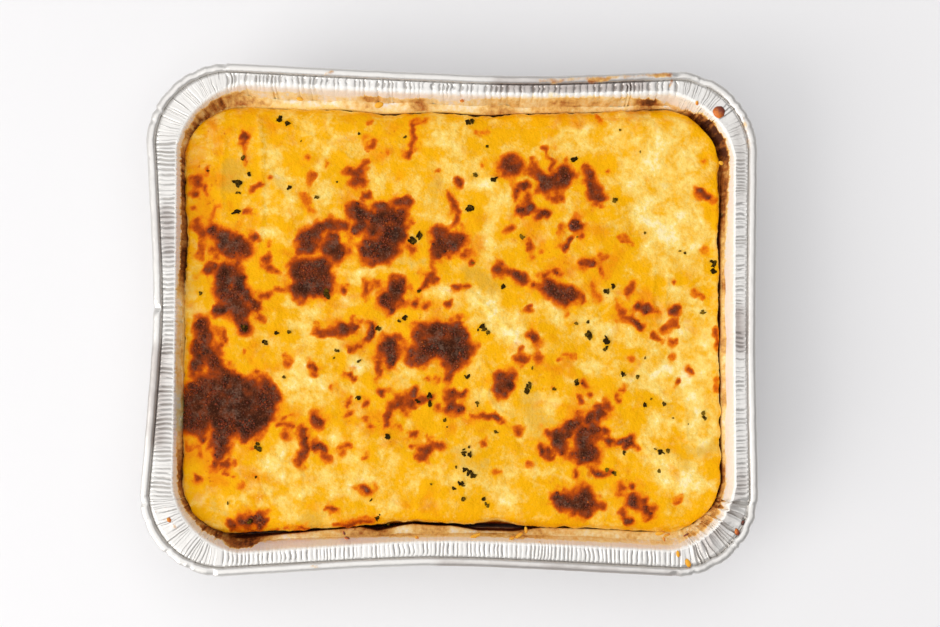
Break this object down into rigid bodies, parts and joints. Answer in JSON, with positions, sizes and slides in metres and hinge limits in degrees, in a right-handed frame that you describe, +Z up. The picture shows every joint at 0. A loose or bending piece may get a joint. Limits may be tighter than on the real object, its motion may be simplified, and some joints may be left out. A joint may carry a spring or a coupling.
{
  "type": "foil tray meal",
  "caption": "Baked lasagne with a browned cheese top in its rectangular foil tray, with pleated corners and a ribbed, rolled rim pinched in along the sides.",
  "frame": {"origin": "centre of the tray's bounding box in X and Y, on the plane of its flat base", "axes": "+X along the tray's long side, +Y along its short side, +Z up out of the tray"},
  "size_m": [0.3224, 0.2682, 0.06],
  "materials": {
    "foil": "bright crinkled aluminium foil with baked-on golden stains on the inner wall",
    "baked_cheese": "baked cheese sauce, golden yellow to cream with red-brown and nearly black burnt patches, slightly glossy",
    "herbs": "dried dark green herb flecks",
    "burnt_sauce": "caramelised sauce, dark reddish brown, glossy"
  },
  "bodies": {
    "root": {"foil_tray": "foil", "lasagne": "baked_cheese"}
  },
  "joints": []
}
